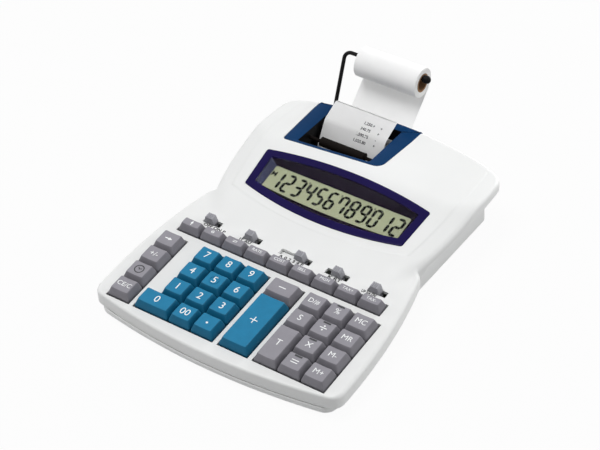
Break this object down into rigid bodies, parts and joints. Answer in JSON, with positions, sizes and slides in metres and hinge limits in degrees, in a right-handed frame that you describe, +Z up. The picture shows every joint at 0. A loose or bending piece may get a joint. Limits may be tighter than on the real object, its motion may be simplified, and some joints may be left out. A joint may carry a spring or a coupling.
{
  "type": "printing calculator",
  "caption": "Desktop printing calculator with a sloping keypad, slide switches, an LCD under a tinted lens, a printer opening and a paper roll on a wire arm.",
  "frame": {"origin": "under the middle of the whole object, on the table", "axes": "+Z up, -Y towards the user (the front edge of the keypad), +X to the user's right"},
  "size_m": [0.218, 0.3065, 0.0821],
  "materials": {
    "white_shell": "fine satin moulded white plastic",
    "navy_trim": "satin navy plastic",
    "indigo_lens": "clear tinted indigo acrylic",
    "lcd": "matt grey-green display glass",
    "mat_rubber": "moulded silicone rubber",
    "board": "glass-fibre board with green lacquer",
    "frame_steel": "plain pressed steel",
    "roller_rubber": "ground black rubber",
    "ink_felt": "ink-soaked foam",
    "paper": "white plain paper",
    "card": "brown wound card",
    "black_wire": "gloss black lacquer on steel wire",
    "black_plastic": "black plastic",
    "foot_rubber": "matt rubber",
    "screw_steel": "zinc-plated steel",
    "teal_key": "satin teal plastic",
    "grey_key": "satin grey plastic",
    "grey_knob": "satin grey plastic"
  },
  "bodies": {
    "case": {"upper_cover": "white_shell", "lower_case": "white_shell", "printer_trim": "navy_trim", "display_lens": "indigo_lens", "lcd_panel": "lcd", "key_mat": "mat_rubber", "main_board": "board", "printer_frame": "frame_steel", "roll_wire": "black_wire", "wire_cap": "black_plastic", "paper_strip": "paper", "rubber_feet": "foot_rubber", "case_screws": "screw_steel"},
    "roll": {"paper_roll": "paper", "roll_core": "card"},
    "platen": {"platen_roller": "roller_rubber"},
    "ink": {"ink_roller": "ink_felt"},
    "key_feed_body": {"key_feed": "grey_key"},
    "key_local_body": {"key_local": "grey_key"},
    "key_convert_body": {"key_convert": "grey_key"},
    "key_rate_body": {"key_rate": "grey_key"},
    "key_cost_body": {"key_cost": "grey_key"},
    "key_sell_body": {"key_sell": "grey_key"},
    "key_margin_body": {"key_margin": "grey_key"},
    "key_tax_plus_body": {"key_tax_plus": "grey_key"},
    "key_tax_minus_body": {"key_tax_minus": "grey_key"},
    "key_clear_body": {"key_clear": "grey_key"},
    "key_clock_body": {"key_clock": "grey_key"},
    "key_sign_body": {"key_sign": "grey_key"},
    "key_shift_body": {"key_shift": "grey_key"},
    "key_0_body": {"key_0": "teal_key"},
    "key_00_body": {"key_00": "teal_key"},
    "key_point_body": {"key_point": "teal_key"},
    "key_1_body": {"key_1": "teal_key"},
    "key_2_body": {"key_2": "teal_key"},
    "key_3_body": {"key_3": "teal_key"},
    "key_4_body": {"key_4": "teal_key"},
    "key_5_body": {"key_5": "teal_key"},
    "key_6_body": {"key_6": "teal_key"},
    "key_7_body": {"key_7": "teal_key"},
    "key_8_body": {"key_8": "teal_key"},
    "key_9_body": {"key_9": "teal_key"},
    "key_plus_body": {"key_plus": "teal_key"},
    "key_minus_body": {"key_minus": "grey_key"},
    "key_total_body": {"key_total": "grey_key"},
    "key_subtotal_body": {"key_subtotal": "grey_key"},
    "key_date_body": {"key_date": "grey_key"},
    "key_equals_body": {"key_equals": "grey_key"},
    "key_multiply_body": {"key_multiply": "grey_key"},
    "key_divide_body": {"key_divide": "grey_key"},
    "key_percent_body": {"key_percent": "grey_key"},
    "key_memory_plus_body": {"key_memory_plus": "grey_key"},
    "key_memory_minus_body": {"key_memory_minus": "grey_key"},
    "key_memory_recall_body": {"key_memory_recall": "grey_key"},
    "key_memory_clear_body": {"key_memory_clear": "grey_key"},
    "switch_1_body": {"switch_1": "grey_knob"},
    "switch_2_body": {"switch_2": "grey_knob"},
    "switch_3_body": {"switch_3": "grey_knob"},
    "switch_4_body": {"switch_4": "grey_knob"},
    "switch_5_body": {"switch_5": "grey_knob"}
  },
  "joints": [
    {"name": "roll_spin", "type": "hinge", "parent": "case", "child": "roll", "pos_m": [-0.028, 0.14097, 0.06983], "axis": [1, 0, 0], "continuous": true},
    {"name": "platen_spin", "type": "hinge", "parent": "case", "child": "platen", "pos_m": [-0.028, 0.08221, 0.02619], "axis": [1, 0, 0], "continuous": true},
    {"name": "ink_spin", "type": "hinge", "parent": "case", "child": "ink", "pos_m": [-0.028, 0.0693, 0.03997], "axis": [1, 0, 0], "continuous": true},
    {"name": "key_feed_press", "type": "slide", "parent": "case", "child": "key_feed_body", "axis": [0, 0.0872, -0.9962], "range_m": [0, 0.003], "stiffness_N_per_m": 150, "springref_m": -0.001},
    {"name": "key_local_press", "type": "slide", "parent": "case", "child": "key_local_body", "axis": [0, 0.0872, -0.9962], "range_m": [0, 0.003], "stiffness_N_per_m": 150, "springref_m": -0.001},
    {"name": "key_convert_press", "type": "slide", "parent": "case", "child": "key_convert_body", "axis": [0, 0.0872, -0.9962], "range_m": [0, 0.003], "stiffness_N_per_m": 150, "springref_m": -0.001},
    {"name": "key_rate_press", "type": "slide", "parent": "case", "child": "key_rate_body", "axis": [0, 0.0872, -0.9962], "range_m": [0, 0.003], "stiffness_N_per_m": 150, "springref_m": -0.001},
    {"name": "key_cost_press", "type": "slide", "parent": "case", "child": "key_cost_body", "axis": [0, 0.0872, -0.9962], "range_m": [0, 0.003], "stiffness_N_per_m": 150, "springref_m": -0.001},
    {"name": "key_sell_press", "type": "slide", "parent": "case", "child": "key_sell_body", "axis": [0, 0.0872, -0.9962], "range_m": [0, 0.003], "stiffness_N_per_m": 150, "springref_m": -0.001},
    {"name": "key_margin_press", "type": "slide", "parent": "case", "child": "key_margin_body", "axis": [0, 0.0872, -0.9962], "range_m": [0, 0.003], "stiffness_N_per_m": 150, "springref_m": -0.001},
    {"name": "key_tax_plus_press", "type": "slide", "parent": "case", "child": "key_tax_plus_body", "axis": [0, 0.0872, -0.9962], "range_m": [0, 0.003], "stiffness_N_per_m": 150, "springref_m": -0.001},
    {"name": "key_tax_minus_press", "type": "slide", "parent": "case", "child": "key_tax_minus_body", "axis": [0, 0.0872, -0.9962], "range_m": [0, 0.003], "stiffness_N_per_m": 150, "springref_m": -0.001},
    {"name": "key_clear_press", "type": "slide", "parent": "case", "child": "key_clear_body", "axis": [0, 0.0872, -0.9962], "range_m": [0, 0.003], "stiffness_N_per_m": 150, "springref_m": -0.001},
    {"name": "key_clock_press", "type": "slide", "parent": "case", "child": "key_clock_body", "axis": [0, 0.0872, -0.9962], "range_m": [0, 0.003], "stiffness_N_per_m": 150, "springref_m": -0.001},
    {"name": "key_sign_press", "type": "slide", "parent": "case", "child": "key_sign_body", "axis": [0, 0.0872, -0.9962], "range_m": [0, 0.003], "stiffness_N_per_m": 150, "springref_m": -0.001},
    {"name": "key_shift_press", "type": "slide", "parent": "case", "child": "key_shift_body", "axis": [0, 0.0872, -0.9962], "range_m": [0, 0.003], "stiffness_N_per_m": 150, "springref_m": -0.001},
    {"name": "key_0_press", "type": "slide", "parent": "case", "child": "key_0_body", "axis": [0, 0.0872, -0.9962], "range_m": [0, 0.003], "stiffness_N_per_m": 150, "springref_m": -0.001},
    {"name": "key_00_press", "type": "slide", "parent": "case", "child": "key_00_body", "axis": [0, 0.0872, -0.9962], "range_m": [0, 0.003], "stiffness_N_per_m": 150, "springref_m": -0.001},
    {"name": "key_point_press", "type": "slide", "parent": "case", "child": "key_point_body", "axis": [0, 0.0872, -0.9962], "range_m": [0, 0.003], "stiffness_N_per_m": 150, "springref_m": -0.001},
    {"name": "key_1_press", "type": "slide", "parent": "case", "child": "key_1_body", "axis": [0, 0.0872, -0.9962], "range_m": [0, 0.003], "stiffness_N_per_m": 150, "springref_m": -0.001},
    {"name": "key_2_press", "type": "slide", "parent": "case", "child": "key_2_body", "axis": [0, 0.0872, -0.9962], "range_m": [0, 0.003], "stiffness_N_per_m": 150, "springref_m": -0.001},
    {"name": "key_3_press", "type": "slide", "parent": "case", "child": "key_3_body", "axis": [0, 0.0872, -0.9962], "range_m": [0, 0.003], "stiffness_N_per_m": 150, "springref_m": -0.001},
    {"name": "key_4_press", "type": "slide", "parent": "case", "child": "key_4_body", "axis": [0, 0.0872, -0.9962], "range_m": [0, 0.003], "stiffness_N_per_m": 150, "springref_m": -0.001},
    {"name": "key_5_press", "type": "slide", "parent": "case", "child": "key_5_body", "axis": [0, 0.0872, -0.9962], "range_m": [0, 0.003], "stiffness_N_per_m": 150, "springref_m": -0.001},
    {"name": "key_6_press", "type": "slide", "parent": "case", "child": "key_6_body", "axis": [0, 0.0872, -0.9962], "range_m": [0, 0.003], "stiffness_N_per_m": 150, "springref_m": -0.001},
    {"name": "key_7_press", "type": "slide", "parent": "case", "child": "key_7_body", "axis": [0, 0.0872, -0.9962], "range_m": [0, 0.003], "stiffness_N_per_m": 150, "springref_m": -0.001},
    {"name": "key_8_press", "type": "slide", "parent": "case", "child": "key_8_body", "axis": [0, 0.0872, -0.9962], "range_m": [0, 0.003], "stiffness_N_per_m": 150, "springref_m": -0.001},
    {"name": "key_9_press", "type": "slide", "parent": "case", "child": "key_9_body", "axis": [0, 0.0872, -0.9962], "range_m": [0, 0.003], "stiffness_N_per_m": 150, "springref_m": -0.001},
    {"name": "key_plus_press", "type": "slide", "parent": "case", "child": "key_plus_body", "axis": [0, 0.0872, -0.9962], "range_m": [0, 0.003], "stiffness_N_per_m": 150, "springref_m": -0.001},
    {"name": "key_minus_press", "type": "slide", "parent": "case", "child": "key_minus_body", "axis": [0, 0.0872, -0.9962], "range_m": [0, 0.003], "stiffness_N_per_m": 150, "springref_m": -0.001},
    {"name": "key_total_press", "type": "slide", "parent": "case", "child": "key_total_body", "axis": [0, 0.0872, -0.9962], "range_m": [0, 0.003], "stiffness_N_per_m": 150, "springref_m": -0.001},
    {"name": "key_subtotal_press", "type": "slide", "parent": "case", "child": "key_subtotal_body", "axis": [0, 0.0872, -0.9962], "range_m": [0, 0.003], "stiffness_N_per_m": 150, "springref_m": -0.001},
    {"name": "key_date_press", "type": "slide", "parent": "case", "child": "key_date_body", "axis": [0, 0.0872, -0.9962], "range_m": [0, 0.003], "stiffness_N_per_m": 150, "springref_m": -0.001},
    {"name": "key_equals_press", "type": "slide", "parent": "case", "child": "key_equals_body", "axis": [0, 0.0872, -0.9962], "range_m": [0, 0.003], "stiffness_N_per_m": 150, "springref_m": -0.001},
    {"name": "key_multiply_press", "type": "slide", "parent": "case", "child": "key_multiply_body", "axis": [0, 0.0872, -0.9962], "range_m": [0, 0.003], "stiffness_N_per_m": 150, "springref_m": -0.001},
    {"name": "key_divide_press", "type": "slide", "parent": "case", "child": "key_divide_body", "axis": [0, 0.0872, -0.9962], "range_m": [0, 0.003], "stiffness_N_per_m": 150, "springref_m": -0.001},
    {"name": "key_percent_press", "type": "slide", "parent": "case", "child": "key_percent_body", "axis": [0, 0.0872, -0.9962], "range_m": [0, 0.003], "stiffness_N_per_m": 150, "springref_m": -0.001},
    {"name": "key_memory_plus_press", "type": "slide", "parent": "case", "child": "key_memory_plus_body", "axis": [0, 0.0872, -0.9962], "range_m": [0, 0.003], "stiffness_N_per_m": 150, "springref_m": -0.001},
    {"name": "key_memory_minus_press", "type": "slide", "parent": "case", "child": "key_memory_minus_body", "axis": [0, 0.0872, -0.9962], "range_m": [0, 0.003], "stiffness_N_per_m": 150, "springref_m": -0.001},
    {"name": "key_memory_recall_press", "type": "slide", "parent": "case", "child": "key_memory_recall_body", "axis": [0, 0.0872, -0.9962], "range_m": [0, 0.003], "stiffness_N_per_m": 150, "springref_m": -0.001},
    {"name": "key_memory_clear_press", "type": "slide", "parent": "case", "child": "key_memory_clear_body", "axis": [0, 0.0872, -0.9962], "range_m": [0, 0.003], "stiffness_N_per_m": 150, "springref_m": -0.001},
    {"name": "switch_1_slide", "type": "slide", "parent": "case", "child": "switch_1_body", "axis": [1, 0, 0], "range_m": [-0.004, 0.004]},
    {"name": "switch_2_slide", "type": "slide", "parent": "case", "child": "switch_2_body", "axis": [1, 0, 0], "range_m": [-0.004, 0.004]},
    {"name": "switch_3_slide", "type": "slide", "parent": "case", "child": "switch_3_body", "axis": [1, 0, 0], "range_m": [-0.016, 0]},
    {"name": "switch_4_slide", "type": "slide", "parent": "case", "child": "switch_4_body", "axis": [1, 0, 0], "range_m": [-0.008, 0]},
    {"name": "switch_5_slide", "type": "slide", "parent": "case", "child": "switch_5_body", "axis": [1, 0, 0], "range_m": [-0.004, 0.004]}
  ],
  "couplings": [
    {"joint": "platen_spin", "follows": "roll_spin", "ratio": 1.7571}
  ]
}
